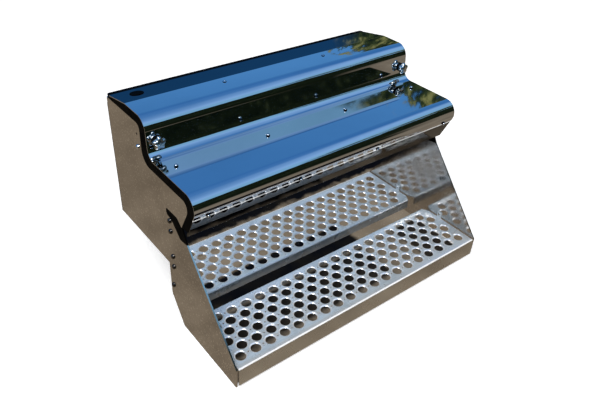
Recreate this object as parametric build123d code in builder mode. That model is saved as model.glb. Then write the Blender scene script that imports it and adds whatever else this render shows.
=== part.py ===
from build123d import *
import os

# Truck entry step: a frame-side box with a polished two-step cover and one perforated tread.
# Millimetres. X runs along the step, Y to the rear, Z up. The origin is the centre of the
# frame bolts on the rear face. Profiles are drawn as "back" from the tread's front edge and
# "up" from the tread's top face.

# Overall sizes
length = 914
depth = 626
bolts_above_tread = 315
first_step = 230
cover_riser = depth - first_step
half = length / 2

# Sheet thicknesses and fits
plate = 4
sheet = 3
skin = 2.5
running_gap = 0.3
thread_gap = 0.05
stud_gap = 0.6
edge_break = 1
inner = half - plate

# End plate outline
plate_bottom = -64
plate_front_lean = 4
arm_back = 271
arm_knee_up = 18
riser_flange_back = 329
box_bottom = 128
plate_top = 505
plate_behind_riser = 34
plate_riser = cover_riser + plate_behind_riser
plate_step = 395
plate_nose = 199
plate_under_nose_up = 365
beak_back, beak_up = 238, 301
front_edge_back, front_edge_up = 215, 259
slot_end_back = 318
slot_low, slot_high = 298, 318
slot_knee_back, slot_knee_up = 292, 293
slot_throat_back, slot_throat_up = 250, 255
slot_margin = 5

# Cover profile
cover_rear_gap = 20
cover_strip = 101
cover_rear_back, cover_rear_up = depth - cover_rear_gap, 515
cover_bend_back = cover_rear_back - cover_strip
cover_top = 533
cover_step = 424
cover_nose = 165
cover_under_up = 377
lip_back, lip_up = 209, 290
nose_radius = 38
inner_radius = 30
rear_bend_radius = 40
under_bend_radius = 30
hem_width = 14
hem_round = 2
cover_inset = 0.5
cover_half = half - cover_inset

# Rubber trim
trim_width = 14
trim_end_reach, trim_end_rise = 40, 8

# Tread
tread_depth = 221
tread_front_flange = 58
tread_back_flange = 30
tread_bend = 4
hole_pitch = 46.7
row_pitch = 30.5
first_row = 37.5
row_count = 6
row_end = 35
row_holes = int((length - 2 * row_end) / hole_pitch) + 1
tread_hole = 27
tab_back, tab_width, tab_height = 151, 16, 22
tab_screw_up = 12
end_clearance = 4
corner_cut_x, corner_cut_y = 14, 24

# Riser panel
riser_front = 252
riser_bottom = -45
riser_top = 330
riser_return = 24
riser_foot = 28
riser_flange_margin = 4
side_bolt_back = 303
side_bolt_ups = (283, 249, 165, 130)
low_bolt_back, low_bolt_up = 315, 57

# Box
floor_edge = 30
floor_notch = 13
rear_flange = 36
rear_flange_drop = 5
rear_corner_drop = 20
frame_bolt_x = 600
frame_bolt_z = 200
frame_hole = 13.5

# Knobs and their brackets
knob_to_plate = 23
knob_x = inner - knob_to_plate
knob_above_step = 44
knob_up = cover_step + knob_above_step
knob_diameter = 40
knob_lobes = 5
knob_lobe_radius = 6.8
knob_core_diameter = 29
knob_edge = 2
knob_head = 14
knob_neck = 10
knob_neck_diameter = 20
stud = 8
stud_past_bracket = 22
stud_in_knob = 12
washer_diameter = 27
washer_thick = 3
bracket_behind_riser = 40
bracket_back = cover_riser + bracket_behind_riser
stud_tip_back = bracket_back + stud_past_bracket
bracket_leg = 40
bracket_reach = 46
bracket_below, bracket_above = 50, 24
bracket_low, bracket_high = knob_up - bracket_below, knob_up + bracket_above
insert_diameter = 14
insert_length = 12
bracket_bolt_inset, bracket_bolt_drop = 14, 37
bracket_bolt_back, bracket_bolt_up = bracket_back + bracket_bolt_inset, knob_up - bracket_bolt_drop
spare_hole_inset, spare_hole_rise = 12, 3
spare_hole_back, spare_hole_up = bracket_back + spare_hole_inset, knob_up + spare_hole_rise
spare_hole = 7

# Rails and screws of the cover
rail_width = 40
rail_depth = 15
rail_sheet = 2
rail_to_plate = 23
rail_half = inner - rail_to_plate
rail_before_riser, rail_behind_riser = 75, 84
step_rail_back = cover_riser - rail_before_riser
top_rail_back = cover_riser + rail_behind_riser
lip_rail_from, lip_rail_to = 9, 45
screw = 5
screw_head = 9.5
screw_head_height = 3
screw_length = 9
step_screw_count = 4
step_screw_end = 40
step_screw_pitch = (length - 2 * step_screw_end) / (step_screw_count - 1)
top_screw_count = 2
top_screw_pitch = 350
lip_screw_down = 15

# Side bolts
bolt = 8
bolt_head = 14
bolt_head_height = 4.5
nut_flats = 13
nut_height = 6.5
bolt_past_nut = 3

# Plug in the cover's rear strip
plug_to_plate = 56
plug_x = -(inner - plug_to_plate)
plug_to_rear = 44
plug_back = cover_rear_back - plug_to_rear
plug_diameter = 38
plug_rim = 2

pieces = {}


def side(x):
    """Plane facing +X at x, drawn as back and up."""
    return Plane(origin=(x, -depth, -bolts_above_tread), x_dir=(0, 1, 0), z_dir=(1, 0, 0))


def facing(back):
    """Plane facing forward, drawn as x and up."""
    return Plane(origin=(0, back - depth, -bolts_above_tread), x_dir=(1, 0, 0), z_dir=(0, -1, 0))


def level(up):
    """Plane facing up, drawn as x and back."""
    return Plane(origin=(0, -depth, up - bolts_above_tread), x_dir=(1, 0, 0), z_dir=(0, 0, 1))


def outward(hand, x):
    """Plane at x on one side (hand -1 left, 1 right) whose normal points away from the middle."""
    origin = (hand * x, -depth, -bolts_above_tread)
    return Plane(origin=origin, x_dir=(0, hand, 0), z_dir=(hand, 0, 0))


names = {-1: "left", 1: "right"}

# The cover's outer line, from the rear edge over both noses to the lip
cover_points = [
    (cover_rear_back, cover_rear_up),
    (cover_bend_back, cover_top),
    (cover_riser, cover_top),
    (cover_riser, cover_step),
    (cover_nose, cover_step),
    (cover_nose, cover_under_up),
    (lip_back, lip_up),
]
cover_radii = [rear_bend_radius, nose_radius, inner_radius, nose_radius, under_bend_radius]

# The plate's visible edge under the trim, from the rear to the beak
plate_s_points = [
    (depth - sheet, plate_top),
    (plate_riser, plate_top),
    (plate_riser, plate_step),
    (plate_nose, plate_step),
    (plate_nose + 2, plate_under_nose_up),
    (beak_back, beak_up),
]
plate_s_radii = [16, 38, 20, 26]

# The slot runs from the front edge up and back under the beak
slot_points = [
    (beak_back, beak_up),
    (260, slot_high + 1),
    (slot_end_back, slot_high),
    (slot_end_back, slot_low),
    (slot_knee_back, slot_knee_up),
    (slot_throat_back, slot_throat_up),
    (front_edge_back, front_edge_up),
]
slot_radii = [15, 9, 9, 20, 12]

lip_run = Vector(lip_back - cover_nose, lip_up - cover_under_up)
lip_dir = lip_run.normalized()
lip_inward = Vector(-lip_dir.Y, lip_dir.X)
lip_angle = lip_dir.get_signed_angle(Vector(1, 0), Vector(0, 0, -1))


# The end plate's outline, with its S edge, beak and slot
with BuildSketch() as plate_outline:
    with BuildLine():
        FilletPolyline(*plate_s_points, radius=plate_s_radii)
        FilletPolyline(*slot_points, radius=slot_radii)
        Polyline(
            (front_edge_back, front_edge_up),
            (0, 0),
            (plate_front_lean, plate_bottom),
            (arm_back, plate_bottom),
            (riser_flange_back, arm_knee_up),
            (riser_flange_back, box_bottom),
            (depth - sheet, box_bottom),
            (depth - sheet, plate_top),
        )
    make_face()

# All that lies behind the plate's S edge, and the trim between it and the inside of the cover,
# which keeps a running gap to the plate because it comes away with the cover
with BuildSketch() as behind_s_edge:
    with BuildLine():
        FilletPolyline(*plate_s_points, radius=plate_s_radii)
        Polyline(
            (beak_back, beak_up),
            (beak_back - trim_end_reach, beak_up + trim_end_rise),
            (beak_back, 0),
            (2 * depth, 0),
            (2 * depth, plate_top),
            (depth - sheet, plate_top),
        )
    make_face()
    offset(amount=running_gap)
with BuildSketch() as trim_outline:
    with BuildLine():
        FilletPolyline(*cover_points, radius=cover_radii)
        Polyline((lip_back, lip_up), (depth, lip_up), (cover_rear_back, cover_rear_up))
    make_face()
    offset(amount=-(skin + thread_gap))
    add(behind_s_edge.sketch, mode=Mode.SUBTRACT)


# End plates, with the holes of the side bolts, the bracket bolt and the spare hole
for hand, name in names.items():
    with BuildPart() as end_plate:
        with BuildSketch(side(hand * inner)):
            add(plate_outline.sketch)
            with Locations(*[(side_bolt_back, up) for up in side_bolt_ups]):
                Circle(bolt / 2 + thread_gap, mode=Mode.SUBTRACT)
            with Locations((low_bolt_back, low_bolt_up), (bracket_bolt_back, bracket_bolt_up)):
                Circle(bolt / 2 + thread_gap, mode=Mode.SUBTRACT)
            with Locations((spare_hole_back, spare_hole_up)):
                Circle(spare_hole / 2, mode=Mode.SUBTRACT)
            with Locations((tab_back, tab_screw_up)):
                Circle(screw / 2 + thread_gap, mode=Mode.SUBTRACT)
        extrude(amount=hand * plate)
    pieces["end_plate_" + name] = end_plate

# Rubber trim that fills the step between each plate's S edge and the cover
for hand, name in names.items():
    with BuildPart() as edge_seal:
        with BuildSketch(side(hand * half)):
            add(trim_outline.sketch)
        extrude(amount=-hand * trim_width)
    pieces["edge_seal_" + name] = edge_seal

# Rubber strip pressed into each slot
for hand, name in names.items():
    with BuildPart() as slot_seal:
        with BuildSketch(side(hand * half)):
            with BuildLine():
                FilletPolyline(*slot_points, radius=slot_radii)
                Line((front_edge_back, front_edge_up), (beak_back, beak_up))
            make_face()
        extrude(amount=-hand * plate)
    pieces["slot_seal_" + name] = slot_seal

# Tread: a folded pan with flanges, then the staggered rows of holes
tread_half = inner - end_clearance
with BuildPart() as tread:
    with BuildSketch(side(0)):
        with BuildLine():
            FilletPolyline(
                (0, -tread_front_flange),
                (0, 0),
                (tread_depth, 0),
                (tread_depth, -tread_back_flange),
                radius=tread_bend,
            )
            offset(amount=sheet, side=Side.RIGHT)
        make_face()
    extrude(amount=tread_half, both=True)
    with BuildSketch(level(0)):
        for hand in names:
            with BuildLine():
                Polyline(
                    (hand * half, tread_depth - corner_cut_y),
                    (hand * tread_half, tread_depth - corner_cut_y),
                    (hand * (tread_half - corner_cut_x), tread_depth),
                    (hand * half, tread_depth),
                    close=True,
                )
            make_face()
    extrude(amount=-tread_back_flange, mode=Mode.SUBTRACT)
    for hand in names:
        with BuildSketch(level(0)):
            with Locations((hand * (inner - end_clearance), tab_back)):
                Rectangle(2 * end_clearance, tab_width)
        extrude(amount=-sheet)
        with BuildSketch(side(hand * inner)):
            with Locations((tab_back, tab_height / 2 - sheet)):
                Rectangle(tab_width, tab_height + sheet)
            with Locations((tab_back, tab_screw_up)):
                Circle(screw / 2 + thread_gap, mode=Mode.SUBTRACT)
        extrude(amount=-hand * sheet)
    for row in range(row_count):
        holes = row_holes - row % 2
        with Locations(level(0)):
            with Locations((0, first_row + row * row_pitch)):
                with GridLocations(hole_pitch, 1, holes, 1):
                    Hole(tread_hole / 2, depth=2 * sheet)
pieces["tread"] = tread

# Riser panel: polished sheet, flanges turned back at the ends and along the top
with BuildPart() as riser_panel:
    with BuildSketch(side(0)):
        with BuildLine():
            FilletPolyline(
                (riser_front, riser_bottom),
                (riser_front, riser_top),
                (riser_front + riser_return, riser_top),
                radius=tread_bend,
            )
            offset(amount=sheet, side=Side.RIGHT)
        make_face()
    extrude(amount=inner, both=True)
    for hand in names:
        with BuildSketch(side(hand * inner)):
            with BuildLine():
                Polyline(
                    (riser_front, riser_bottom),
                    (riser_front + riser_foot, riser_bottom),
                    (riser_flange_back - riser_flange_margin, arm_knee_up),
                    (riser_flange_back - riser_flange_margin, slot_low - slot_margin),
                    (slot_knee_back, slot_knee_up - slot_margin),
                    (riser_front, slot_throat_up - slot_margin),
                    close=True,
                )
            make_face()
            with Locations(*[(side_bolt_back, up) for up in side_bolt_ups]):
                Circle(bolt / 2 + thread_gap, mode=Mode.SUBTRACT)
            with Locations((low_bolt_back, low_bolt_up)):
                Circle(bolt / 2 + thread_gap, mode=Mode.SUBTRACT)
        extrude(amount=-hand * sheet)
pieces["riser_panel"] = riser_panel

# Box floor between riser and rear panel, edges turned up front and back
floor_front = riser_front + sheet
floor_rear = depth - sheet
notch_rear = riser_flange_back + running_gap
with BuildPart() as box_floor:
    with BuildSketch(side(0)):
        with BuildLine():
            FilletPolyline(
                (floor_front, box_bottom + floor_edge),
                (floor_front, box_bottom),
                (floor_rear, box_bottom),
                (floor_rear, box_bottom + floor_edge),
                radius=tread_bend,
            )
            offset(amount=sheet, side=Side.LEFT)
        make_face()
    extrude(amount=inner, both=True)
    with BuildSketch(level(box_bottom)):
        for hand in names:
            with Locations((hand * half, (floor_front + notch_rear) / 2)):
                Rectangle(2 * (plate + floor_notch), notch_rear - floor_front)
    extrude(amount=floor_edge, mode=Mode.SUBTRACT)
pieces["box_floor"] = box_floor

# Rear panel over the plates' rear edges, with a top flange and the frame bolt holes
with BuildPart() as rear_panel:
    with BuildSketch(side(0)):
        with BuildLine():
            FilletPolyline(
                (depth, box_bottom),
                (depth, plate_top - rear_flange_drop),
                (depth - rear_flange, plate_top - rear_flange_drop),
                radius=tread_bend,
            )
            offset(amount=sheet, side=Side.LEFT)
        make_face()
    extrude(amount=inner, both=True)
    with BuildSketch(facing(depth - sheet)):
        with Locations((0, (box_bottom + plate_top - rear_corner_drop) / 2)):
            Rectangle(length, plate_top - rear_corner_drop - box_bottom)
    extrude(amount=-sheet)
    with BuildSketch(facing(depth - sheet)):
        with Locations((0, bolts_above_tread)):
            with GridLocations(frame_bolt_x, frame_bolt_z, 2, 2):
                Circle(frame_hole / 2)
    extrude(amount=-sheet, mode=Mode.SUBTRACT)
pieces["rear_panel"] = rear_panel

# Weather strip on the rear panel's flange, under and behind the cover's rear edge. Its top is
# level, so that the sloping edge slides forward over it.
rear_slope = (cover_top - cover_rear_up) / (cover_rear_back - cover_bend_back)
strip_front = depth - rear_flange + edge_break
strip_step = cover_rear_back + 2 * running_gap
strip_base = plate_top - rear_flange_drop
strip_under = cover_rear_up - skin - running_gap

with BuildPart() as rear_weather_strip:
    with BuildSketch(side(0)):
        with BuildLine():
            Polyline(
                (strip_front, strip_base),
                (depth - tread_bend, strip_base),
                (depth - tread_bend, cover_rear_up),
                (strip_step, cover_rear_up),
                (strip_step, strip_under),
                (strip_front, strip_under),
                close=True,
            )
        make_face()
    extrude(amount=inner - trim_width, both=True)
pieces["rear_weather_strip"] = rear_weather_strip

# Cover: one folded sheet with a hemmed lip
lip_end = Vector(lip_back, lip_up)
hem_centre = lip_end - lip_dir * (hem_width / 2) + lip_inward * skin
cover_corner = Vector(cover_nose, cover_under_up)
lip_screw_spot = cover_corner + lip_dir * lip_screw_down
lip_face = Plane(
    origin=(0, lip_screw_spot.X - depth, lip_screw_spot.Y - bolts_above_tread),
    x_dir=(1, 0, 0),
    z_dir=(0, -lip_inward.X, -lip_inward.Y),
)
with BuildPart() as step_cover:
    with BuildSketch(side(0)):
        with BuildLine():
            FilletPolyline(*cover_points, radius=cover_radii)
            offset(amount=skin, side=Side.LEFT)
        make_face()
        with Locations(Location((hem_centre.X, hem_centre.Y, 0), (0, 0, lip_angle))):
            RectangleRounded(hem_width, 2 * skin, hem_round)
    extrude(amount=cover_half, both=True)
    with BuildSketch(facing(cover_riser)):
        with Locations((-knob_x, knob_up), (knob_x, knob_up)):
            Circle(stud / 2 + stud_gap)
    extrude(amount=-2 * skin, mode=Mode.SUBTRACT)
    with BuildSketch(level(cover_step)):
        with Locations((0, step_rail_back)):
            with GridLocations(step_screw_pitch, 1, step_screw_count, 1):
                Circle(screw / 2 + thread_gap)
    extrude(amount=-2 * skin, mode=Mode.SUBTRACT)
    with BuildSketch(level(cover_top)):
        with Locations((0, top_rail_back)):
            with GridLocations(top_screw_pitch, 1, top_screw_count, 1):
                Circle(screw / 2 + thread_gap)
    extrude(amount=-2 * skin, mode=Mode.SUBTRACT)
    with BuildSketch(lip_face):
        with GridLocations(step_screw_pitch, 1, step_screw_count, 1):
            Circle(screw / 2 + thread_gap)
    extrude(amount=-2 * skin, mode=Mode.SUBTRACT)
pieces["step_cover"] = step_cover

# Channel rails under both steps, and the flat rail behind the lip
rails = {
    "second_step_rail": (step_rail_back, cover_step, step_screw_pitch, step_screw_count),
    "first_step_rail": (top_rail_back, cover_top, top_screw_pitch, top_screw_count),
}
for name, (back, up, pitch, count) in rails.items():
    with BuildPart() as rail:
        with BuildSketch(side(0)):
            with BuildLine():
                FilletPolyline(
                    (back - rail_width / 2, up - skin - rail_depth),
                    (back - rail_width / 2, up - skin),
                    (back + rail_width / 2, up - skin),
                    (back + rail_width / 2, up - skin - rail_depth),
                    radius=skin,
                )
                offset(amount=rail_sheet, side=Side.RIGHT)
            make_face()
        extrude(amount=rail_half, both=True)
        with BuildSketch(level(up - skin)):
            with Locations((0, back)):
                with GridLocations(pitch, 1, count, 1):
                    Circle(screw / 2 + thread_gap)
        extrude(amount=-2 * rail_sheet, mode=Mode.SUBTRACT)
    pieces[name] = rail

lip_rail_drop = (lip_rail_from + lip_rail_to) / 2 - lip_screw_down
with BuildPart() as lip_rail:
    with BuildSketch(lip_face.offset(-skin)):
        with Locations((0, -lip_rail_drop)):
            RectangleRounded(2 * rail_half, lip_rail_to - lip_rail_from, sheet)
        with GridLocations(step_screw_pitch, 1, step_screw_count, 1):
            Circle(screw / 2 + thread_gap, mode=Mode.SUBTRACT)
    extrude(amount=-sheet)
pieces["lip_rail"] = lip_rail


def capped(head, head_height, shank, shank_length):
    """A button head with a coned rim on a plain shank, its head above the XY plane."""
    rim = head_height / 2
    with BuildPart() as fastener:
        with BuildSketch(Plane.XZ):
            with BuildLine():
                Polyline(
                    (0, head_height),
                    (0, -shank_length),
                    (shank / 2, -shank_length),
                    (shank / 2, 0),
                    (head / 2, 0),
                    (head / 2, rim),
                    (head / 3, head_height),
                    close=True,
                )
            make_face()
        revolve(axis=Axis.Z)
    return fastener.part


cover_screw = capped(screw_head, screw_head_height, screw, screw_length)
side_bolt = capped(bolt_head, bolt_head_height, bolt, plate + sheet + nut_height + bolt_past_nut)
tab_screw = capped(screw_head, screw_head_height, screw, sheet + plate)
short_bolt = capped(bolt_head, bolt_head_height, bolt, plate + 2 * sheet)

screw_rows = {
    "second_step_screws": (level(cover_step), step_rail_back, step_screw_pitch, step_screw_count),
    "first_step_screws": (level(cover_top), top_rail_back, top_screw_pitch, top_screw_count),
    "lip_screws": (lip_face, 0, step_screw_pitch, step_screw_count),
}
for name, (face, back, pitch, count) in screw_rows.items():
    with BuildPart() as screws:
        with Locations(face):
            with Locations((0, back)):
                with GridLocations(pitch, 1, count, 1):
                    add(cover_screw)
    pieces[name] = screws

# Side bolts with nuts on the inside, bracket bolts and tread screws
for hand, name in names.items():
    spots = [(hand * side_bolt_back, up) for up in side_bolt_ups]
    spots.append((hand * low_bolt_back, low_bolt_up))
    with BuildPart() as side_bolts:
        with Locations(outward(hand, half)):
            with Locations(*spots):
                add(side_bolt)
    pieces["side_bolts_" + name] = side_bolts

    with BuildPart() as side_nuts:
        with BuildSketch(outward(hand, inner - sheet)):
            with Locations(*spots):
                RegularPolygon(nut_flats / 2, 6, major_radius=False)
                Circle(bolt / 2 + thread_gap, mode=Mode.SUBTRACT)
        extrude(amount=-nut_height)
    pieces["side_nuts_" + name] = side_nuts

    with BuildPart() as bracket_bolt:
        with Locations(outward(hand, half)):
            with Locations((hand * bracket_bolt_back, bracket_bolt_up)):
                add(short_bolt)
    pieces["bracket_bolt_" + name] = bracket_bolt

    with BuildPart() as tread_screw:
        with Locations(outward(-hand, -(inner - sheet))):
            with Locations((-hand * tab_back, tab_screw_up)):
                add(tab_screw)
    pieces["tread_screw_" + name] = tread_screw

# Angle brackets on the plates, with a threaded insert for each knob's stud
for hand, name in names.items():
    with BuildPart() as knob_bracket:
        with BuildSketch(side(hand * inner)):
            with Locations((bracket_back + bracket_leg / 2, (bracket_low + bracket_high) / 2)):
                RectangleRounded(bracket_leg, bracket_high - bracket_low, 2 * sheet)
            with Locations((bracket_bolt_back, bracket_bolt_up)):
                Circle(bolt / 2 + thread_gap, mode=Mode.SUBTRACT)
            with Locations((spare_hole_back, spare_hole_up)):
                Circle(spare_hole / 2, mode=Mode.SUBTRACT)
        extrude(amount=-hand * sheet)
        with BuildSketch(facing(bracket_back)):
            with Locations((hand * (inner - bracket_reach / 2), knob_up)):
                Rectangle(bracket_reach, bracket_leg)
            with Locations((hand * knob_x, knob_up)):
                Circle(stud / 2 + stud_gap, mode=Mode.SUBTRACT)
        extrude(amount=-sheet)
    pieces["knob_bracket_" + name] = knob_bracket

    with BuildPart() as bracket_insert:
        with BuildSketch(facing(bracket_back + sheet)):
            with Locations((hand * knob_x, knob_up)):
                Circle(insert_diameter / 2)
                Circle(stud / 2 + thread_gap, mode=Mode.SUBTRACT)
        extrude(amount=-insert_length)
    pieces["bracket_insert_" + name] = bracket_insert

# Star knobs, their studs and the dark washers on the cover's riser
knob_rear = cover_riser - washer_thick - running_gap
for hand, name in names.items():
    with BuildPart() as knob_washer:
        with BuildSketch(facing(cover_riser)):
            with Locations((hand * knob_x, knob_up)):
                Circle(washer_diameter / 2)
                Circle(stud / 2 + stud_gap, mode=Mode.SUBTRACT)
        extrude(amount=washer_thick)
    pieces["knob_washer_" + name] = knob_washer

    with BuildPart() as knob:
        with BuildSketch(facing(knob_rear)):
            with Locations((hand * knob_x, knob_up)):
                Circle(knob_neck_diameter / 2)
        extrude(amount=knob_neck)
        with BuildSketch(facing(knob_rear - knob_neck)):
            with Locations((hand * knob_x, knob_up)):
                Circle(knob_core_diameter / 2)
                with PolarLocations(knob_diameter / 2 - knob_lobe_radius, knob_lobes):
                    Circle(knob_lobe_radius)
        extrude(amount=knob_head)
        chamfer(knob.faces().sort_by(Axis.Y)[0].edges(), length=knob_edge)
        with BuildSketch(facing(knob_rear)):
            with Locations((hand * knob_x, knob_up)):
                Circle(stud / 2 + thread_gap)
        extrude(amount=stud_in_knob, mode=Mode.SUBTRACT)
    pieces["knob_" + name] = knob

    with BuildPart() as knob_stud:
        with BuildSketch(facing(stud_tip_back)):
            with Locations((hand * knob_x, knob_up)):
                Circle(stud / 2)
        extrude(amount=stud_tip_back - knob_rear + stud_in_knob)
        chamfer(knob_stud.edges().sort_by(Axis.Y)[-1], length=edge_break)
    pieces["knob_stud_" + name] = knob_stud

# Rubber plug in the cover's rear strip
plug_up = cover_rear_up + (cover_rear_back - plug_back) * rear_slope
plug_face = Plane(
    origin=(plug_x, plug_back - depth, plug_up - bolts_above_tread),
    x_dir=(1, 0, 0),
    z_dir=(0, rear_slope, 1),
)
with BuildPart() as cover_plug:
    with BuildSketch(plug_face):
        Circle(plug_diameter / 2)
    extrude(amount=plug_rim)
    chamfer(cover_plug.faces().sort_by(Axis.Z)[-1].edges(), length=edge_break)
pieces["cover_plug"] = cover_plug

os.makedirs("parts", exist_ok=True)
for name, piece in pieces.items():
    piece.part.label = name
    export_step(piece.part, f"parts/{name}.step")
print(len(pieces), "pieces written")
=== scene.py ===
# %% [markdown]
# Truck entry step.
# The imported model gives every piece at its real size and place. This lesson dresses it: polished
# sheet steel for the cover and the riser, a perforated tread pressed from bright sheet, black rubber
# trim along the edges, and chrome knobs. All lengths are in metres, with +X along the step to the
# right, +Y to the rear and +Z up.

# %% Load the frame and keep its box
import bpy, bmesh, math
from mathutils import Matrix, Vector


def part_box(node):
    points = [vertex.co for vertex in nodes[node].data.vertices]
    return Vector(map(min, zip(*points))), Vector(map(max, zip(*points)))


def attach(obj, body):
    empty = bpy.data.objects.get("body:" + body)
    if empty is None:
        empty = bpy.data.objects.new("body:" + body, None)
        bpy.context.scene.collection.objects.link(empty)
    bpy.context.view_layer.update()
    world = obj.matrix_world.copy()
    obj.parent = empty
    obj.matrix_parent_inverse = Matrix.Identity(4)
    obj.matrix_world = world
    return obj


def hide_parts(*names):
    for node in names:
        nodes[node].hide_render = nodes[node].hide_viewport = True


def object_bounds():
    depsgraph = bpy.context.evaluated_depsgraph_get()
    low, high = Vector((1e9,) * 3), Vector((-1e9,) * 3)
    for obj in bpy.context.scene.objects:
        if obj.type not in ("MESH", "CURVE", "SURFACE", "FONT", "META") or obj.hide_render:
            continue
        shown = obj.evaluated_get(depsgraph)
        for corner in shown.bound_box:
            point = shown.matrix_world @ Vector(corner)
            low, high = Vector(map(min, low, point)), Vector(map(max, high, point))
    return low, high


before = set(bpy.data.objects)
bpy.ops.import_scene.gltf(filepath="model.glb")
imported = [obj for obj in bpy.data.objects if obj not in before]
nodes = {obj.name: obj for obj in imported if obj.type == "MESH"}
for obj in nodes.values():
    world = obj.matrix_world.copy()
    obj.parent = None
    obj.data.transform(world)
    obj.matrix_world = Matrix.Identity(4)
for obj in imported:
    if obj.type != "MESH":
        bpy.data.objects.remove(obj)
cad_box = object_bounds()
MM = 0.001
print("CAD box", [round(v, 3) for v in (*cad_box[0], *cad_box[1])])

# %% [markdown]
# Profiles are easiest to think of as "back" from the tread's front edge and "up" from the tread's
# top face, as a sheet-metal worker would mark them out. One small helper turns such a pair into a
# point of the frame, and it finds the tread by asking the frame where the pieces are. Two more
# make objects and meshes.

# %% Helpers for places and objects
PLATE_BELOW_TREAD = 64 * MM
tread_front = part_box("tread")[0].y
tread_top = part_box("end_plate_left")[0].z + PLATE_BELOW_TREAD
plate_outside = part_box("end_plate_right")[1].x


def profile_point(back, up, x=0.0):
    """Point at x, given back and up in millimetres."""
    return Vector((x, tread_front + back * MM, tread_top + up * MM))


def new_object(name, data):
    """An object with this data, linked to the scene."""
    thing = bpy.data.objects.new(name, data)
    bpy.context.scene.collection.objects.link(thing)
    return thing


def mesh_from(bm, name):
    """The finished bmesh as a mesh; the bmesh is freed."""
    mesh = bpy.data.meshes.new(name)
    bm.to_mesh(mesh)
    bm.free()
    return mesh


print("tread front", round(tread_front, 4), "tread top", round(tread_top, 4))

# %% [markdown]
# The camera stands to the left of the step, in front of it and well above it. Its place and tilt
# were worked out from the holes of the tread and the corners of the end plates, so the lens shift
# stays small.

# %% Camera
CAMERA_PLACE = Vector((-1.0294, -1.5837, 0.9840))
CAMERA_YAW, CAMERA_DOWN, CAMERA_ROLL = (math.radians(a) for a in (40.87, 32.20, 3.33))
LENS_LENGTH, FILM_WIDTH = 39.50, 36
LENS_SHIFT = (-0.0497, -0.0499)

look = Vector((
    math.sin(CAMERA_YAW) * math.cos(CAMERA_DOWN),
    math.cos(CAMERA_YAW) * math.cos(CAMERA_DOWN),
    -math.sin(CAMERA_DOWN),
))
level_right = look.cross(Vector((0, 0, 1))).normalized()
level_up = level_right.cross(look)
right = math.cos(CAMERA_ROLL) * level_right + math.sin(CAMERA_ROLL) * level_up
up = -math.sin(CAMERA_ROLL) * level_right + math.cos(CAMERA_ROLL) * level_up
camera_data = bpy.data.cameras.new("photo_camera")
camera_data.lens = LENS_LENGTH
camera_data.sensor_width = FILM_WIDTH
camera_data.shift_x, camera_data.shift_y = LENS_SHIFT
camera = new_object("photo_camera", camera_data)
turn = Matrix((right, up, -look)).transposed().to_4x4()
camera.matrix_world = Matrix.Translation(CAMERA_PLACE) @ turn
bpy.context.scene.camera = camera
bpy.context.scene.view_settings.view_transform = "Standard"
print("camera at", [round(v, 3) for v in CAMERA_PLACE])

# %% [markdown]
# Node trees are long to write by hand. These helpers keep them short: one starts a material, one
# links sockets to a shader, and the others make a node or a small sum to go on with.

# %% Helpers for shader nodes


def add_node(tree, kind, settings=None, **inputs):
    """A new node with its properties and its named inputs set; an input may be a socket to link."""
    node = tree.nodes.new(kind)
    for name, value in (settings or {}).items():
        setattr(node, name, value)
    for name, value in inputs.items():
        label = name.replace("_", " ")
        socket = node.inputs[label] if label in node.inputs else node.inputs[int(name[1:])]
        if isinstance(value, bpy.types.NodeSocket):
            tree.links.new(value, socket)
        else:
            socket.default_value = value
    return node


def start_material(name, **inputs):
    """A material with one Principled shader; returns the material, its tree and the shader."""
    material = bpy.data.materials.new(name)
    material.use_nodes = True
    tree = material.node_tree
    shader = tree.nodes["Principled BSDF"]
    for key, value in inputs.items():
        shader.inputs[key.replace("_", " ")].default_value = value
    return material, tree, shader


def drive(tree, shader, **sockets):
    """Links a socket to each named input of the shader."""
    for name, socket in sockets.items():
        tree.links.new(socket, shader.inputs[name.replace("_", " ")])


def object_coords(tree):
    return tree.nodes.new("ShaderNodeTexCoord").outputs["Object"]


def axes_of(tree, vector=None):
    """The X, Y and Z of a vector, or of the place on the object."""
    split = add_node(tree, "ShaderNodeSeparateXYZ", None, Vector=vector or object_coords(tree))
    return split.outputs


def noise(tree, vector=None, *, scale, detail, **others):
    """A cloudy value between 0 and 1."""
    where = vector or object_coords(tree)
    node = add_node(tree, "ShaderNodeTexNoise", None, Vector=where, Scale=scale, Detail=detail, **others)
    return node.outputs["Fac"]


def bump_from(tree, height, strength, distance):
    node = add_node(tree, "ShaderNodeBump", None, Height=height, Strength=strength, Distance=distance)
    return node.outputs[0]


def ramp(tree, factor, stops):
    """A colour ramp from a list of (position, colour)."""
    node = tree.nodes.new("ShaderNodeValToRGB")
    while len(node.color_ramp.elements) < len(stops):
        node.color_ramp.elements.new(0.5)
    for element, (position, colour) in zip(node.color_ramp.elements, stops):
        element.position = position
        element.color = (*colour, 1)
    tree.links.new(factor, node.inputs["Fac"])
    return node.outputs["Color"]


def math_node(tree, operation, first, second):
    """The result of one sum; each value is a number or a socket."""
    return add_node(tree, "ShaderNodeMath", {"operation": operation}, _0=first, _1=second).outputs[0]


def band(tree, value, low, high, to_low=0.0, to_high=1.0):
    """The value spread evenly from low and high to a new range, and held at its ends."""
    ranges = {"From_Min": low, "From_Max": high, "To_Min": to_low, "To_Max": to_high}
    return add_node(tree, "ShaderNodeMapRange", None, Value=value, **ranges).outputs["Result"]


def blend(tree, factor, first, second, kind="MIX"):
    """Two colours mixed; the factor and the colours are values or sockets."""
    colours = [c if isinstance(c, bpy.types.NodeSocket) else (*c, 1) for c in (first, second)]
    settings = {"data_type": "RGBA", "blend_type": kind}
    mix = add_node(tree, "ShaderNodeMix", settings, _0=factor, _6=colours[0], _7=colours[1])
    return mix.outputs[2]


print("helpers ready")

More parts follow.
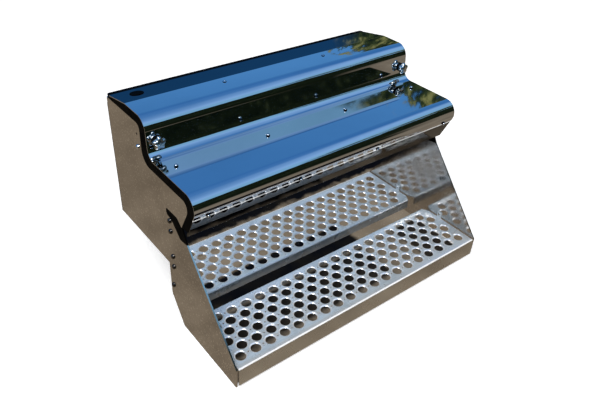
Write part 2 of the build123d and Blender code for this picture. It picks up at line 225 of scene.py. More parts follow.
# %% [markdown]
# Polished metal has no colour of its own: it shows what stands around it. The room is white, as the
# camera sees it, and only the reflections see two big cards that a photographer would put up for
# such a piece: a blue sky dome with a dark line of trees in front and to the right, and a card of
# brown gravel on the floor, dark where the step shades it. The floor itself is pale, and brown earth
# under the step, with two patches of painted shadow on it that show through the holes of the tread.

# %% Floor and white world
FLOOR_SIZE = 30
FLOOR_UNDER = 0.5 * MM
UNDER_DEPTH = 300 * MM
UNDER_INSET = 12 * MM
UNDER_EDGE = 3 * MM
# Two patches of painted shadow on the earth under the step.
PAINTED_SHADOW_PATCHES = [((-0.12, -0.462), (0.30, 0.080)), ((0.40, -0.43), (0.075, 0.14))]
SHADOW_PATCH_EDGE = 8 * MM
PALE_FLOOR, EARTH, PAINTED_SHADOW_EARTH = (0.9, 0.9, 0.9), (0.30, 0.25, 0.19), (0.025, 0.02, 0.015)
FLOOR_LIFT = 0.42
ROOM_LIGHT = 0.62
CLOUD_RANGE = (0.3, 0.7)
floor_level = cad_box[0].z - FLOOR_UNDER


def stage_plane(name, size, height):
    bm = bmesh.new()
    bmesh.ops.create_grid(bm, x_segments=1, y_segments=1, size=size)
    bmesh.ops.translate(bm, verts=bm.verts, vec=(0, 0, height))
    plane = new_object(name, mesh_from(bm, name))
    return plane


def seen_or_mirrored(tree):
    """1 for rays from the camera, a mirror or glass, 0 for the light that falls on things."""
    path = tree.nodes.new("ShaderNodeLightPath").outputs
    first = math_node(tree, "MAXIMUM", path["Is Camera Ray"], path["Is Glossy Ray"])
    return math_node(tree, "MAXIMUM", first, path["Is Transmission Ray"])


def inside_box(tree, centre, half_size, edge):
    """1 well inside a rectangle on the floor, 0 outside, with an edge softened by noise."""
    spot = axes_of(tree)
    away = []
    for axis, axis_centre, axis_half in zip("XY", centre, half_size):
        offset = math_node(tree, "ABSOLUTE", math_node(tree, "SUBTRACT", spot[axis], axis_centre), 0.0)
        away.append(math_node(tree, "SUBTRACT", offset, axis_half))
    shift = band(tree, noise(tree, scale=24.0, detail=3.0), *CLOUD_RANGE, -edge, edge)
    distance = math_node(tree, "ADD", math_node(tree, "MAXIMUM", *away), shift)
    return band(tree, distance, -edge, edge, 1.0, 0.0)


world = bpy.data.worlds.new("white_room")
bpy.context.scene.world = world
world.use_nodes = True
world_tree = world.node_tree
room = world_tree.nodes["Background"]
room.inputs["Color"].default_value = (1, 1, 1, 1)
room_level = band(world_tree, seen_or_mirrored(world_tree), 0.0, 1.0, ROOM_LIGHT, 1.0)
drive(world_tree, room, Strength=room_level)

floor = stage_plane("floor", FLOOR_SIZE, floor_level)
floor_material, tree, shader = start_material("pale_floor", Roughness=0.9, Emission_Color=(1, 1, 1, 1))
box_low, box_high = cad_box
under_centre = ((box_low.x + box_high.x) / 2, tread_front + UNDER_DEPTH / 2)
under_half = ((box_high.x - box_low.x) / 2 - UNDER_INSET, UNDER_DEPTH / 2 - UNDER_INSET)
under_step = inside_box(tree, under_centre, under_half, UNDER_EDGE)
shown_lift = math_node(tree, "MULTIPLY", seen_or_mirrored(tree), FLOOR_LIFT)
lift = math_node(tree, "MULTIPLY", shown_lift, math_node(tree, "SUBTRACT", 1.0, under_step))
# The dark patches are painted shadow, mixed into the earth's colour.
painted_shadows = [inside_box(tree, centre, half, SHADOW_PATCH_EDGE) for centre, half in PAINTED_SHADOW_PATCHES]
earth_with_painted_shadow = blend(tree, math_node(tree, "MAXIMUM", *painted_shadows), EARTH, PAINTED_SHADOW_EARTH)
drive(tree, shader, Emission_Strength=lift, Base_Color=blend(tree, under_step, PALE_FLOOR, earth_with_painted_shadow))
floor.data.materials.append(floor_material)
print("floor at", round(floor_level, 4))

# %% [markdown]
# The sky card is a half sphere. Each place on it is known by its direction: a height between 0 and 1,
# X to the right and Y to the rear. In front a line of trees stands up to FRONT_TREES. On the right
# the trees are taller, sunlit, and one branch hangs over.

# %% Colours of the cards
FRONT_SKY = [
    (0.30, (0.24, 0.52, 0.80)), (0.60, (0.25, 0.53, 0.84)), (0.72, (0.29, 0.54, 0.97)),
    (1.0, (0.07, 0.24, 0.58)),
]
BACK_SKY = [
    (0.0, (0.008, 0.05, 0.14)), (0.16, (0.008, 0.05, 0.14)), (0.30, (0.095, 0.31, 0.69)),
    (0.42, (0.09, 0.30, 0.68)), (0.56, (0.062, 0.23, 0.57)), (0.75, (0.05, 0.20, 0.54)),
    (1.0, (0.09, 0.27, 0.64)),
]
LEAVES = [(0.35, (0.003, 0.006, 0.004)), (0.58, (0.010, 0.016, 0.008)), (0.72, (0.09, 0.11, 0.05))]
SUNLIT_LEAVES = [(0.40, (0.008, 0.016, 0.012)), (0.52, (0.035, 0.055, 0.020)), (0.62, (0.26, 0.26, 0.10))]
GRAVEL = [(0.3, (0.19, 0.155, 0.115)), (0.7, (0.30, 0.25, 0.19))]
PALE_STONES = [(0.0, (0.55, 0.52, 0.46)), (0.22, (0.0, 0.0, 0.0))]
SHADE = [(0.45, (0.004, 0.005, 0.008)), (0.62, (0.009, 0.009, 0.009)), (0.74, (0.024, 0.020, 0.015))]
FAR_GROUND = (0.006, 0.010, 0.005)


def only_in_reflections(thing):
    thing.visible_camera = False
    thing.visible_diffuse = False
    thing.visible_transmission = False
    thing.visible_volume_scatter = False
    thing.visible_shadow = False


def start_glow(name):
    """A material that only glows; returns it and its tree."""
    material, tree, shader = start_material(name)
    tree.nodes.remove(shader)
    return material, tree


def finish_glow(tree, colour):
    glow = add_node(tree, "ShaderNodeEmission", None, Color=colour, Strength=1.0)
    drive(tree, tree.nodes["Material Output"], Surface=glow.outputs[0])


print("card colours ready")

# %% Sky card
DOME_RADIUS = 12
FRONT_TREES = 0.435
FRONT_TO_BACK = (-0.12, 0.10)
TALL_TREES_FROM, TALL_TREES = (0.592, 0.612), 0.385
TALLEST_TREES_FROM, TALLEST_EXTRA = (0.64, 0.70), 0.085
RIGHT_FROM = (0.50, 0.60)
CROWN_SWING, TWIG_SWING, LINE_EDGE = 0.03, 0.035, 0.006
LEAF_RANGE, BRANCH_RANGE = (0.35, 0.65), (0.43, 0.46)
SKY_UNDER_TREES = ((0.20, 0.26), (0.625, 0.665))
LIT_ABOVE = (0.43, 0.47)
ONLY_IN_FRONT = (0.0, -0.1)
BRANCH_LIMITS = (("X", 0.50, 0.53), ("Z", 0.470, 0.485), ("Z", 0.56, 0.545), ("Y", *ONLY_IN_FRONT))

bm = bmesh.new()
bmesh.ops.create_uvsphere(bm, u_segments=48, v_segments=24, radius=DOME_RADIUS)
everything = bm.verts[:] + bm.edges[:] + bm.faces[:]
floor_cut = {"plane_co": (0, 0, floor_level), "plane_no": (0, 0, 1), "clear_inner": True}
bmesh.ops.bisect_plane(bm, geom=everything, **floor_cut)
bmesh.ops.reverse_faces(bm, faces=bm.faces)
dome = new_object("sky_card", mesh_from(bm, "sky_card"))
only_in_reflections(dome)

dome_material, tree = start_glow("sky_card")
normalize = {"operation": "NORMALIZE"}
direction = add_node(tree, "ShaderNodeVectorMath", normalize, _0=object_coords(tree)).outputs[0]
axes = axes_of(tree, direction)
to_back = band(tree, axes["Y"], *FRONT_TO_BACK)
on_right = band(tree, axes["X"], *RIGHT_FROM)
sky = blend(tree, to_back, ramp(tree, axes["Z"], FRONT_SKY), ramp(tree, axes["Z"], BACK_SKY))

tall_trees = band(tree, axes["X"], *TALL_TREES_FROM, 0.0, TALL_TREES)
tallest_part = band(tree, axes["X"], *TALLEST_TREES_FROM, 0.0, TALLEST_EXTRA)
right_trees = math_node(tree, "ADD", tall_trees, tallest_part)
away_from_front = math_node(tree, "MULTIPLY", to_back, -FRONT_TREES)
front_trees = math_node(tree, "ADD", away_from_front, FRONT_TREES)
tree_line = math_node(tree, "MAXIMUM", front_trees, right_trees)
crowns = noise(tree, direction, scale=14.0, detail=6.0, Roughness=0.6)
swing = band(tree, crowns, *CLOUD_RANGE, -CROWN_SWING, CROWN_SWING)
leaves = noise(tree, direction, scale=60.0, detail=5.0, Roughness=0.7)
leaf_swing = band(tree, leaves, *LEAF_RANGE, -TWIG_SWING, TWIG_SWING)
twigs = math_node(tree, "MULTIPLY", leaf_swing, on_right)
crown_line = math_node(tree, "ADD", math_node(tree, "ADD", tree_line, swing), twigs)
below_line = band(tree, math_node(tree, "SUBTRACT", crown_line, axes["Z"]), -LINE_EDGE, LINE_EDGE)

above_gap = band(tree, axes["Z"], *SKY_UNDER_TREES[0])
beside_gap = band(tree, axes["X"], *SKY_UNDER_TREES[1])
in_front = band(tree, axes["Y"], *ONLY_IN_FRONT)
gap_closed = math_node(tree, "MAXIMUM", math_node(tree, "MAXIMUM", above_gap, beside_gap), in_front)
is_tree = math_node(tree, "MULTIPLY", below_line, gap_closed)
branch = band(tree, noise(tree, direction, scale=11.0, detail=5.0, Roughness=0.7), *BRANCH_RANGE)
for axis, limit_start, limit_end in BRANCH_LIMITS:
    branch = math_node(tree, "MULTIPLY", branch, band(tree, axes[axis], limit_start, limit_end))
covered = math_node(tree, "MAXIMUM", is_tree, branch)

high_up = band(tree, axes["Z"], *LIT_ABOVE)
sunny_side = math_node(tree, "MULTIPLY", on_right, math_node(tree, "MAXIMUM", to_back, high_up))
foliage = blend(tree, sunny_side, ramp(tree, leaves, LEAVES), ramp(tree, leaves, SUNLIT_LEAVES))
finish_glow(tree, blend(tree, covered, sky, foliage))
dome.data.materials.append(dome_material)
print("sky card faces", len(dome.data.polygons))

# %% [markdown]
# The gravel card is brown and full of pale stones near the step. It is dark in two places: under and
# behind the tread, and in a strip in front of it. Far off it is as dark as the foot of the trees,
# except to the right.

# %% Gravel card
UNDER_AND_BEHIND = ((-0.10, -0.4465), (0.30, 0.0655))
STRIP_IN_FRONT = ((0.10, -0.86), (0.60, 0.155))
SHADE_EDGE = 10 * MM
FAR_FROM = (1.6, 2.3)
NOT_ON_RIGHT = (0.60, 0.70)
STONE_SHARE = 0.35
gravel = stage_plane("gravel_card", DOME_RADIUS, floor_level + FLOOR_UNDER / 2)
only_in_reflections(gravel)
gravel_material, tree = start_glow("gravel_card")
where = object_coords(tree)
stones = add_node(tree, "ShaderNodeTexVoronoi", None, Vector=where, Scale=95.0).outputs["Distance"]
brown = ramp(tree, noise(tree, where, scale=7.0, detail=5.0), GRAVEL)
lit = blend(tree, STONE_SHARE, brown, ramp(tree, stones, PALE_STONES), "ADD")
shaded = ramp(tree, noise(tree, where, scale=13.0, detail=4.0), SHADE)
shades = [inside_box(tree, *place, SHADE_EDGE) for place in (UNDER_AND_BEHIND, STRIP_IN_FRONT)]
near = blend(tree, math_node(tree, "MAXIMUM", *shades), lit, shaded)
distance = add_node(tree, "ShaderNodeVectorMath", {"operation": "LENGTH"}, _0=where).outputs["Value"]
sideways = math_node(tree, "DIVIDE", axes_of(tree, where)["X"], distance)
not_on_right = band(tree, sideways, *NOT_ON_RIGHT, 1.0, 0.0)
far_off = math_node(tree, "MULTIPLY", band(tree, distance, *FAR_FROM), not_on_right)
finish_glow(tree, blend(tree, far_off, near, FAR_GROUND))
gravel.data.materials.append(gravel_material)
print("stage cards ready")

# %% [markdown]
# Two soft lamps shape the dull surfaces: a strong one above and to the left for the tread and the
# end plate, and a wider, weaker one to the right that keeps the shadows open and shows in no mirror.

# %% Lamps
KEY_PLACE, KEY_SIZE, KEY_WATTS = (-1.6, -1.2, 2.6), 1.2, 48
FILL_PLACE, FILL_SIZE, FILL_WATTS = (2.2, -1.8, 2.0), 1.6, 18


def soft_lamp(name, place, target, size, watts):
    data = bpy.data.lights.new(name, "AREA")
    data.shape = "DISK"
    data.size = size
    data.energy = watts
    lamp = new_object(name, data)
    lamp.location = place
    lamp.rotation_euler = (target - Vector(place)).to_track_quat("-Z", "Y").to_euler()
    return lamp


middle = (box_low + box_high) / 2
soft_lamp("key_lamp", KEY_PLACE, middle, KEY_SIZE, KEY_WATTS)
fill_lamp = soft_lamp("fill_lamp", FILL_PLACE, middle, FILL_SIZE, FILL_WATTS)
fill_lamp.visible_glossy = False
print("lamps ready")

# %% [markdown]
# Three small effects are shared by most of the finishes, so each is a node group. Smudges are what a
# hand or rain leaves on a polish: they only change how sharp a reflection is. Grain is the fine
# drawn line of rolled sheet. Specks are grit and dust.

# %% Helpers for node groups


def start_group(name, inputs, outputs):
    """A shader node group with float sockets; inputs are {name: value}, outputs a list of names."""
    group = bpy.data.node_groups.new(name, "ShaderNodeTree")
    for label, value in inputs.items():
        socket = group.interface.new_socket(label, in_out="INPUT", socket_type="NodeSocketFloat")
        socket.default_value = value
    for label in outputs:
        group.interface.new_socket(label, in_out="OUTPUT", socket_type="NodeSocketFloat")
    return group, group.nodes.new("NodeGroupInput").outputs, group.nodes.new("NodeGroupOutput")


def place_group(tree, group, **inputs):
    return add_node(tree, "ShaderNodeGroup", {"node_tree": group}, **inputs).outputs


print("group helpers ready")

# %% Smudges group
SMUDGE_INPUTS = {"Scale": 6.0, "Clean": 0.03, "Smudged": 0.12}
PATCH_RANGE = (0.45, 0.75)
smudges, given, out = start_group("smudges", SMUDGE_INPUTS, ["Roughness", "Mask"])
patch = band(smudges, noise(smudges, scale=given["Scale"], detail=6.0, Roughness=0.6), *PATCH_RANGE)
rough = band(smudges, patch, 0.0, 1.0, given["Clean"], given["Smudged"])
drive(smudges, out, Roughness=rough, Mask=patch)
print("group", smudges.name)

# %% Grain group
grain, given, out = start_group("grain", {"Across": 900.0, "Along": 12.0}, ["Value"])
split = axes_of(grain)
rates = {"X": "Along", "Y": "Across", "Z": "Across"}
stretched = {axis: math_node(grain, "MULTIPLY", split[axis], given[rate]) for axis, rate in rates.items()}
lines = add_node(grain, "ShaderNodeCombineXYZ", None, **stretched).outputs[0]
drive(grain, out, Value=noise(grain, lines, scale=1.0, detail=3.0))
print("group", grain.name)

# %% Specks group
specks, given, out = start_group("specks", {"Scale": 160.0, "Size": 0.25, "Share": 0.5}, ["Mask"])
where = object_coords(specks)
cells = add_node(specks, "ShaderNodeTexVoronoi", None, Vector=where, Scale=given["Scale"]).outputs
dot = band(specks, cells["Distance"], 0.0, given["Size"], 1.0, 0.0)
pick = add_node(specks, "ShaderNodeSeparateColor", None, Color=cells["Color"]).outputs[0]
chosen = math_node(specks, "LESS_THAN", pick, given["Share"])
drive(specks, out, Mask=math_node(specks, "MULTIPLY", dot, chosen))
print("group", specks.name)

# %% [markdown]
# Polished sheet: metallic, pale and very smooth. A slow swell in the surface bends the reflections a
# little, as every rolled sheet does, and smudges soften them in patches. The lower part of the
# cover's lip looks nearly black in the photo, so a height above the tread is given below which the
# sheet has painted shade, nearly black, under a white line of painted highlight. On the riser that height
# lies below the sheet's own edge.

# %% Polished sheet for cover and riser
# Painted shade for the lip's lower part, and a white painted highlight along its top.
PAINTED_SHADE_LIP = (0.03, 0.028, 0.025)
PAINTED_HIGHLIGHT_WHITE = (1.0, 1.0, 1.0)
EDGE_LINE, LINE_SOFT = 6 * MM, 2.4 * MM
LINE_LESS_METALLIC = 0.8
SMUDGE_TONE = 0.93
LIP_SHADE_BELOW, RISER_SHADE_BELOW = 360 * MM, -80 * MM


def polished_sheet(name, colour, swell, shade_below):
    """Mirror sheet; below a height over the tread it has painted shade, nearly black, under a painted
    highlight line.
    """
    material, tree, shader = start_material(name)
    marks = place_group(tree, smudges, Scale=5.0, Clean=0.02, Smudged=0.05)
    height = axes_of(tree)["Z"]
    line = tread_top + shade_below
    dark = band(tree, height, line - EDGE_LINE, line - EDGE_LINE + LINE_SOFT, 1.0, 0.0)
    lined = band(tree, height, line, line + LINE_SOFT, 1.0, 0.0)
    edge = math_node(tree, "SUBTRACT", lined, dark)
    highlight_share = math_node(tree, "MULTIPLY", edge, LINE_LESS_METALLIC)
    metallic = math_node(tree, "SUBTRACT", 1.0, highlight_share)
    veil = blend(tree, marks["Mask"], colour, tuple(c * SMUDGE_TONE for c in colour))
    # Painted shade below the line, and a painted highlight in a white band along it.
    covered = blend(tree, dark, blend(tree, edge, veil, PAINTED_HIGHLIGHT_WHITE), PAINTED_SHADE_LIP)
    normal = bump_from(tree, noise(tree, scale=2.2, detail=1.0), strength=1.0, distance=swell)
    drive(tree, shader, Roughness=marks["Roughness"], Metallic=metallic, Base_Color=covered, Normal=normal)
    return material


cover_steel = polished_sheet("polished_cover_steel", (0.66, 0.68, 0.70), 1.0 * MM, LIP_SHADE_BELOW)
riser_steel = polished_sheet("polished_riser_steel", (0.80, 0.80, 0.80), 0.6 * MM, RISER_SHADE_BELOW)
print("sheets", cover_steel.name, riser_steel.name)

# %% [markdown]
# The end plates are polished too, and dusty in patches: their colour is tinted brown as a painted
# reflection of the ground, with pale specks that are painted reflections of gravel, and a dark line
# down their rear edge. The tread is bright pressed sheet that feet have dulled to satin, so it takes the
# light from every side. Its grain runs along the step. The pressed rims and the fold of its front edge
# carry a painted white highlight, and its front flange mirrors the ground.

# %% End plates
# The brown tint is a painted reflection of the ground, and the pale specks are painted reflections of
# gravel; the dull patches are dust.
PLATE_CLEAN_PAINTED_REFLECTION, PLATE_DULL_PAINTED_REFLECTION, PLATE_PAINTED_GRAVEL = (0.62, 0.58, 0.54), (0.50, 0.46, 0.42), (1.0, 0.97, 0.90)
REAR_DARK = (0.02, 0.02, 0.02)
REAR_LINE_FROM = (-3.4 * MM, -2.6 * MM)
plate_steel, tree, shader = start_material("dusty_plate_painted_ground_reflection", Metallic=1.0)
marks = place_group(tree, smudges, Scale=9.0, Clean=0.10, Smudged=0.24)
gravel_specks = place_group(tree, specks, Scale=150.0, Size=0.42, Share=0.5)
dull = blend(tree, marks["Mask"], PLATE_CLEAN_PAINTED_REFLECTION, PLATE_DULL_PAINTED_REFLECTION)
with_painted_gravel = blend(tree, gravel_specks["Mask"], dull, PLATE_PAINTED_GRAVEL)
rear_line = band(tree, axes_of(tree)["Y"], *REAR_LINE_FROM)
lined = blend(tree, rear_line, with_painted_gravel, REAR_DARK)
drive(tree, shader, Roughness=marks["Roughness"], Base_Color=lined)
print("end plates", plate_steel.name)

# %% Tread
RIM_STARTS, RIM_ENDS = (0.15 * MM, 0.5 * MM), (3.2 * MM, 4.5 * MM)
FLANGE_BELOW = (2.6 * MM, 3.4 * MM)
FLANGE_BACK = (3.5 * MM, 4.5 * MM)
STAIN, PAINTED_GLINT_WHITE, FLANGE_TONE = (0.40, 0.46, 0.50), (1.0, 1.0, 1.0), (0.78, 0.76, 0.72)
TREAD_TONES = [(0.3, (0.66, 0.72, 0.76)), (0.7, (0.84, 0.88, 0.90))]
TREAD_METALLIC, FLANGE_EXTRA, FOLD_LESS = 0.45, 0.55, 0.40
RIM_SMOOTHER, STAIN_SHARE = 0.04, 0.5
GRAIN_DEPTH = 0.2 * MM
tread_bright, tree, shader = start_material("satin_tread")
lines = place_group(tree, grain, Across=700.0, Along=30.0)["Value"]
marks = place_group(tree, smudges, Scale=16.0, Clean=0.24, Smudged=0.38)
spot = axes_of(tree)
below_top = math_node(tree, "SUBTRACT", tread_top, spot["Z"])
started = band(tree, below_top, *RIM_STARTS)
pressed = math_node(tree, "MULTIPLY", started, band(tree, below_top, *RIM_ENDS, 1.0, 0.0))
smoother = math_node(tree, "MULTIPLY", pressed, RIM_SMOOTHER)
rough = math_node(tree, "SUBTRACT", marks["Roughness"], smoother)
tone = ramp(tree, lines, TREAD_TONES)
stained = blend(tree, band(tree, marks["Mask"], 0.0, 1.0, 0.0, STAIN_SHARE), tone, STAIN)
front_start, front_end = (tread_front + back for back in FLANGE_BACK)
at_front = band(tree, spot["Y"], front_start, front_end, 1.0, 0.0)
flange = math_node(tree, "MULTIPLY", band(tree, below_top, *FLANGE_BELOW), at_front)
fold = math_node(tree, "MULTIPLY", band(tree, below_top, *FLANGE_BELOW, 1.0, 0.0), at_front)
# The white on the pressed rims and the front fold is a painted highlight.
with_painted_glints = blend(tree, math_node(tree, "MAXIMUM", pressed, fold), stained, PAINTED_GLINT_WHITE)
metallic = math_node(tree, "ADD", TREAD_METALLIC, math_node(tree, "MULTIPLY", flange, FLANGE_EXTRA))
metallic = math_node(tree, "SUBTRACT", metallic, math_node(tree, "MULTIPLY", fold, FOLD_LESS))
drive(tree, shader, Roughness=rough, Base_Color=blend(tree, flange, with_painted_glints, FLANGE_TONE), Metallic=metallic)
drive(tree, shader, Normal=bump_from(tree, lines, strength=0.25, distance=GRAIN_DEPTH))
print("tread", tread_bright.name)

# %% [markdown]
# Black parts come in two kinds. Rubber is dark, rough and faintly uneven. The box behind the riser
# is painted satin black, smooth with a little orange peel. Screws, bolts and knobs are bright or
# dark metal. The inside of the cover is dull, and painted near black as painted shade.

# %% Rubber, paint, fasteners and chrome
PAINT_TONES = [(0.3, (0.018, 0.018, 0.02)), (0.7, (0.035, 0.035, 0.038))]
PORE_DEPTH, PEEL_DEPTH = 0.2 * MM, 0.2 * MM


def rubber(name, tone):
    material, tree, shader = start_material(name, Specular_IOR_Level=0.02)
    marks = place_group(tree, smudges, Scale=30.0, Clean=0.5, Smudged=0.75)
    dust = place_group(tree, specks, Scale=400.0, Size=0.3, Share=0.12)
    colour = blend(tree, dust["Mask"], (tone, tone, tone), (4 * tone, 4 * tone, 4 * tone))
    normal = bump_from(tree, noise(tree, scale=600.0, detail=2.0), strength=0.3, distance=PORE_DEPTH)
    drive(tree, shader, Roughness=marks["Roughness"], Base_Color=colour, Normal=normal)
    return material


def plain_metal(name, dark, light, clean, smudged):
    material, tree, shader = start_material(name, Metallic=1.0)
    marks = place_group(tree, smudges, Scale=60.0, Clean=clean, Smudged=smudged)
    colour = ramp(tree, marks["Mask"], [(0.0, light), (1.0, dark)])
    drive(tree, shader, Roughness=marks["Roughness"], Base_Color=colour)
    return material


seal_rubber = rubber("seal_rubber", 0.0015)
washer_rubber = rubber("washer_rubber", 0.005)
box_paint, tree, shader = start_material("satin_black_paint", Roughness=0.35)
peel = noise(tree, scale=260.0, detail=2.0)
peel_bump = bump_from(tree, peel, strength=0.2, distance=PEEL_DEPTH)
drive(tree, shader, Base_Color=ramp(tree, peel, PAINT_TONES), Normal=peel_bump)
bright_fastener = plain_metal("bright_fastener", (0.55, 0.55, 0.54), (0.82, 0.82, 0.81), 0.12, 0.3)
dark_bolt = plain_metal("dark_bolt_metal", (0.05, 0.045, 0.04), (0.10, 0.09, 0.08), 0.25, 0.4)
# The cover's inside is painted near black: painted shade under the cover.
cover_inside = plain_metal("dull_cover_inside_painted_shade", (0.05, 0.05, 0.05), (0.10, 0.10, 0.10), 0.3, 0.5)
knob_chrome = plain_metal("knob_chrome", (0.42, 0.42, 0.40), (0.60, 0.60, 0.57), 0.24, 0.36)
print("materials", len(bpy.data.materials))

# %% Give every CAD node its finish
finishes = {
    "end_plate": plate_steel, "edge_seal": seal_rubber, "slot_seal": seal_rubber,
    "rear_weather_strip": seal_rubber, "tread_screw": bright_fastener, "tread": tread_bright,
    "riser_panel": riser_steel, "box_floor": box_paint, "rear_panel": box_paint,
    "step_cover": cover_steel, "second_step_rail": box_paint, "first_step_rail": box_paint,
    "lip_rail": box_paint, "second_step_screws": bright_fastener,
    "first_step_screws": bright_fastener, "lip_screws": bright_fastener, "side_bolts": dark_bolt,
    "side_nuts": bright_fastener, "bracket_bolt": bright_fastener, "knob_bracket": box_paint,
    "bracket_insert": bright_fastener, "knob_washer": washer_rubber, "knob_stud": bright_fastener,
    "knob": knob_chrome, "cover_plug": seal_rubber,
}


def finish_for(node_name):
    """The longest name in the table that the node's name starts with."""
    return finishes[max((key for key in finishes if node_name.startswith(key)), key=len)]


for node_name, node in nodes.items():
    node.data.materials.clear()
    node.data.materials.append(finish_for(node_name))
print("finished", len(nodes), "nodes")

# %% [markdown]
# The cover is one sheet folded into two steps: the first is the high one at the rear. A mirror shows
# every facet, so the cover is made afresh as a smooth sheet. A line of nine points, the last two for
# the hem of the lip, is rounded at each fold by a vertex bevel, drawn out along the step by an
# extrusion, and given its thickness by solidify. The faces that look inwards get the dull inside,
# painted near black as painted shade.

# %% Rounded line for folded sheets
INWARD = Vector((0, 0.8, -0.6))
INWARD_SHARE = 0.1
FOLD_SEGMENTS = 20
SHARP_FOLD = math.radians(30)


def rounded_line(bm, points, radii):
    """Edges through points, with each inner corner rounded to its radius."""
    verts = [bm.verts.new(point) for point in points]
    for first, second in zip(verts, verts[1:]):
        bm.edges.new((first, second))
    rounding = {"offset_type": "OFFSET", "profile": 0.5, "affect": "VERTICES", "material": -1}
    for corner, before, after, radius in zip(points[1:-1], points, points[2:], radii):
        turn = (corner - before).angle(after - corner)
        vert = min(bm.verts, key=lambda v: (v.co - corner).length)
        cut_back = radius * math.tan(turn / 2)
        bmesh.ops.bevel(bm, geom=[vert], offset=cut_back, segments=FOLD_SEGMENTS, **rounding)


def fresh_verts(drawn):
    """The new vertices among the results of an extrusion."""
    return [g for g in drawn["geom"] if isinstance(g, bmesh.types.BMVert)]


def sheet_from_line(name, points, radii, half_length, thickness, outside, inside):
    bm = bmesh.new()
    rounded_line(bm, points, radii)
    bmesh.ops.translate(bm, verts=bm.verts, vec=(-half_length, 0, 0))
    drawn = bmesh.ops.extrude_edge_only(bm, edges=bm.edges[:])
    bmesh.ops.translate(bm, verts=fresh_verts(drawn), vec=(2 * half_length, 0, 0))
    bmesh.ops.recalc_face_normals(bm, faces=bm.faces)
    outward = sum((f.normal.z * f.calc_area() for f in bm.faces), 0.0)
    if outward < 0:
        bmesh.ops.reverse_faces(bm, faces=bm.faces)
    bmesh.ops.solidify(bm, geom=bm.faces[:], thickness=thickness)
    bmesh.ops.recalc_face_normals(bm, faces=bm.faces)
    for face in bm.faces:
        face.smooth = True
        face.material_index = 1 if face.normal.dot(INWARD) > INWARD_SHARE else 0
    for edge in bm.edges:
        if len(edge.link_faces) == 2 and edge.calc_face_angle(0.0) > SHARP_FOLD:
            edge.smooth = False
    sheet = new_object(name, mesh_from(bm, name))
    sheet.data.materials.append(outside)
    sheet.data.materials.append(inside)
    return sheet


print("sheet tools ready")

# %% Cover
COVER_SKIN = 2.5 * MM
HEM_WIDTH, HEM_DEPTH = 14, 5.4
REAR_EDGE, REAR_FOLD = (606, 515), (505, 533)
FIRST_STEP_FRONT, FIRST_STEP_FOOT = (397.6, 533), (392.1, 424)
SECOND_STEP_FRONT, LIP_FOLD, LIP_END = (165, 424), (165, 377), (209, 290)
FOLD_RADII = [r * MM for r in (12, 38, 30, 38, 30, 2.6, 2.6)]
cover_low, cover_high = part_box("step_cover")
cover_half = (cover_high.x - cover_low.x) / 2
lip_way = (Vector(LIP_END) - Vector(LIP_FOLD)).normalized()
lip_inside = Vector((-lip_way.y, lip_way.x))
hem_turn = Vector(LIP_END) + lip_inside * HEM_DEPTH
hem_end = hem_turn - lip_way * HEM_WIDTH
cover_spots = [
    REAR_EDGE, REAR_FOLD, FIRST_STEP_FRONT, FIRST_STEP_FOOT, SECOND_STEP_FRONT, LIP_FOLD, LIP_END,
    hem_turn, hem_end,
]
cover_line = [profile_point(*spot) for spot in cover_spots]
cover_skin = sheet_from_line(
    "cover_skin", cover_line, FOLD_RADII, cover_half, COVER_SKIN, cover_steel, cover_inside
)
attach(cover_skin, "cover")
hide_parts("step_cover")
print("cover faces", len(cover_skin.data.polygons))

# %% [markdown]
# The tread is the hardest piece: a pan folded down at the front and the back, whose round holes were
# punched in staggered rows and then pressed down at their rims, which stiffens the sheet and gives
# grip. A smaller drain hole sits midway between each two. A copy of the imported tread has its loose
# triangles merged, and a turned punch, repeated at every hole, is cut away from it.

# %% Turned shapes
UP_AXIS = Vector((0, 0, 1))


def turned(bm, profile, base, axis, steps):
    """Adds a solid of revolution; the profile is (radius, height) pairs from end to end."""
    side = axis.orthogonal().normalized()
    verts = [bm.verts.new(base + side * radius + axis * height) for radius, height in profile]
    edges = [bm.edges.new(pair) for pair in zip(verts, verts[1:])]
    full_turn = {"angle": 2 * math.pi, "steps": steps, "use_merge": True, "use_duplicate": False}
    bmesh.ops.spin(bm, geom=verts + edges, cent=base, axis=axis, **full_turn)


def close_and_turn_out(bm):
    """Joins the poles of turned shapes and turns all faces outwards."""
    bmesh.ops.remove_doubles(bm, verts=bm.verts, dist=0.01 * MM)
    bmesh.ops.recalc_face_normals(bm, faces=bm.faces)


def finished_piece(name, bm, materials, sharp=35):
    close_and_turn_out(bm)
    return piece_from_mesh(name, mesh_from(bm, name), materials, sharp)


def piece_from_mesh(name, mesh, materials, sharp):
    """The object with its materials, smooth up to the sharp angle in degrees."""
    mesh.materials.clear()
    for material in materials:
        mesh.materials.append(material)
    mesh.polygons.foreach_set("use_smooth", [True] * len(mesh.polygons))
    mesh.set_sharp_from_angle(angle=math.radians(sharp))
    return new_object(name, mesh)


def merged_copy(node_name, name):
    """A node's mesh with its loose triangles merged into flat faces."""
    bm = bmesh.new()
    bm.from_mesh(nodes[node_name].data)
    bmesh.ops.remove_doubles(bm, verts=bm.verts, dist=0.001 * MM)
    bmesh.ops.dissolve_limit(bm, angle_limit=math.radians(0.5), verts=bm.verts, edges=bm.edges)
    return mesh_from(bm, name)


print("turning tools ready")

